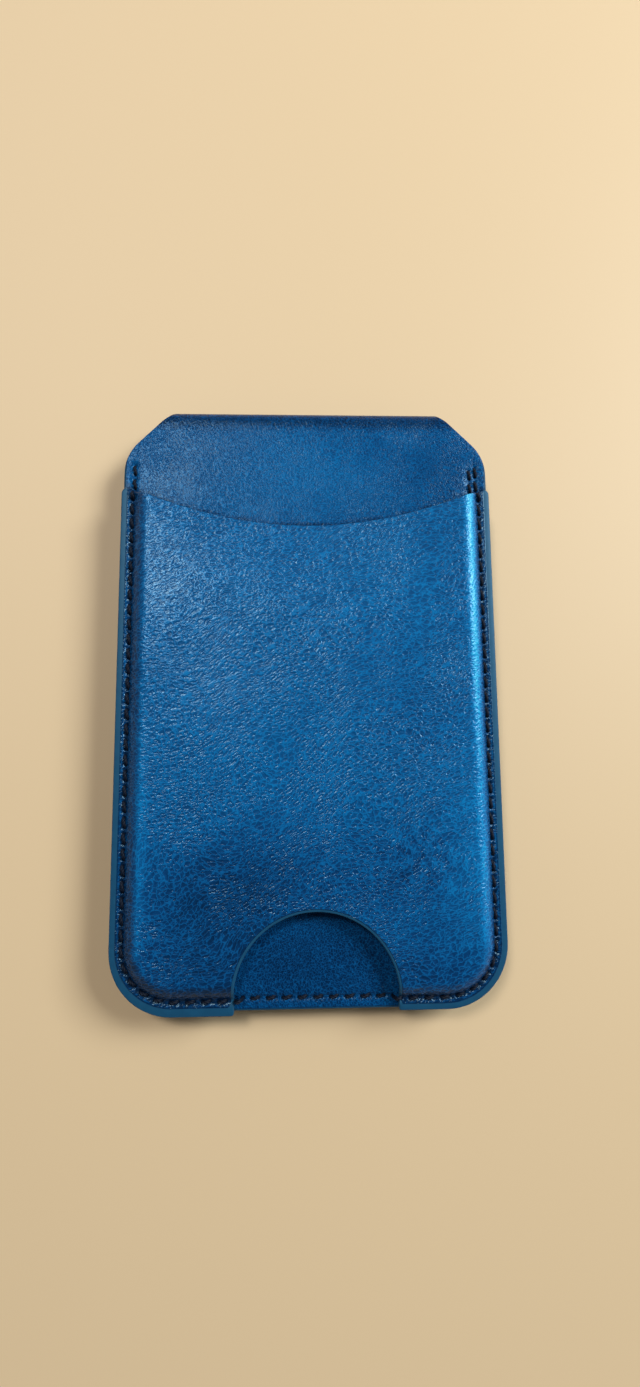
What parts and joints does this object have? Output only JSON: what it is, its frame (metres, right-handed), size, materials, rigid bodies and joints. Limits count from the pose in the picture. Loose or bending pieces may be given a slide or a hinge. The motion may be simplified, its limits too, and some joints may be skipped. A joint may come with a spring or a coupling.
{
  "type": "phone wallet",
  "caption": "Magnetic leather phone wallet: a moulded card pouch with a thumb notch, joined by a leather fold to a rear magnet panel, so that it opens into a phone stand.",
  "frame": {"origin": "middle of the footprint, on the phone side of the rear panel", "axes": "+X across the width, +Y towards the fold, +Z from the phone side to the card pocket"},
  "size_m": [0.066, 0.1054, 0.0082],
  "materials": {
    "leather": "blue pebbled leather, satin, darker along the edges",
    "lining": "dark navy microfibre, matte",
    "thread": "navy waxed polyester thread",
    "board": "dense grey-brown fibreboard",
    "tape": "grey non-woven tape",
    "magnet": "nickel-plated magnet",
    "steel": "thin plain steel sheet"
  },
  "bodies": {
    "magnet_panel": {"rear_leather": "leather", "magnet_carrier_board": "board", "magnet_segment_01": "magnet", "magnet_segment_02": "magnet", "magnet_segment_03": "magnet", "magnet_segment_04": "magnet", "magnet_segment_05": "magnet", "magnet_segment_06": "magnet", "magnet_segment_07": "magnet", "magnet_segment_08": "magnet", "magnet_segment_09": "magnet", "magnet_segment_10": "magnet", "magnet_segment_11": "magnet", "magnet_segment_12": "magnet", "magnet_segment_13": "magnet", "magnet_segment_14": "magnet", "magnet_segment_15": "magnet", "magnet_segment_16": "magnet", "magnet_segment_17": "magnet", "magnet_segment_18": "magnet", "magnet_back_iron": "steel", "alignment_magnet": "magnet", "panel_lining": "lining", "panel_stitching": "thread", "fold_leather": "leather", "fold_reinforcement": "tape", "fold_lining": "lining"},
    "pouch": {"pouch_back_lining": "lining", "pouch_stiffener": "board", "shield_plate": "steel", "backing_leather": "leather", "front_lining": "lining", "front_leather": "leather", "pouch_stitching": "thread"}
  },
  "joints": [
    {"name": "stand_fold", "type": "hinge", "parent": "magnet_panel", "child": "pouch", "pos_m": [0, 0.0523, 0.0026], "axis": [-1, 0, 0], "range_deg": [0, 170], "deforming": ["fold_leather", "fold_reinforcement", "fold_lining"]}
  ]
}
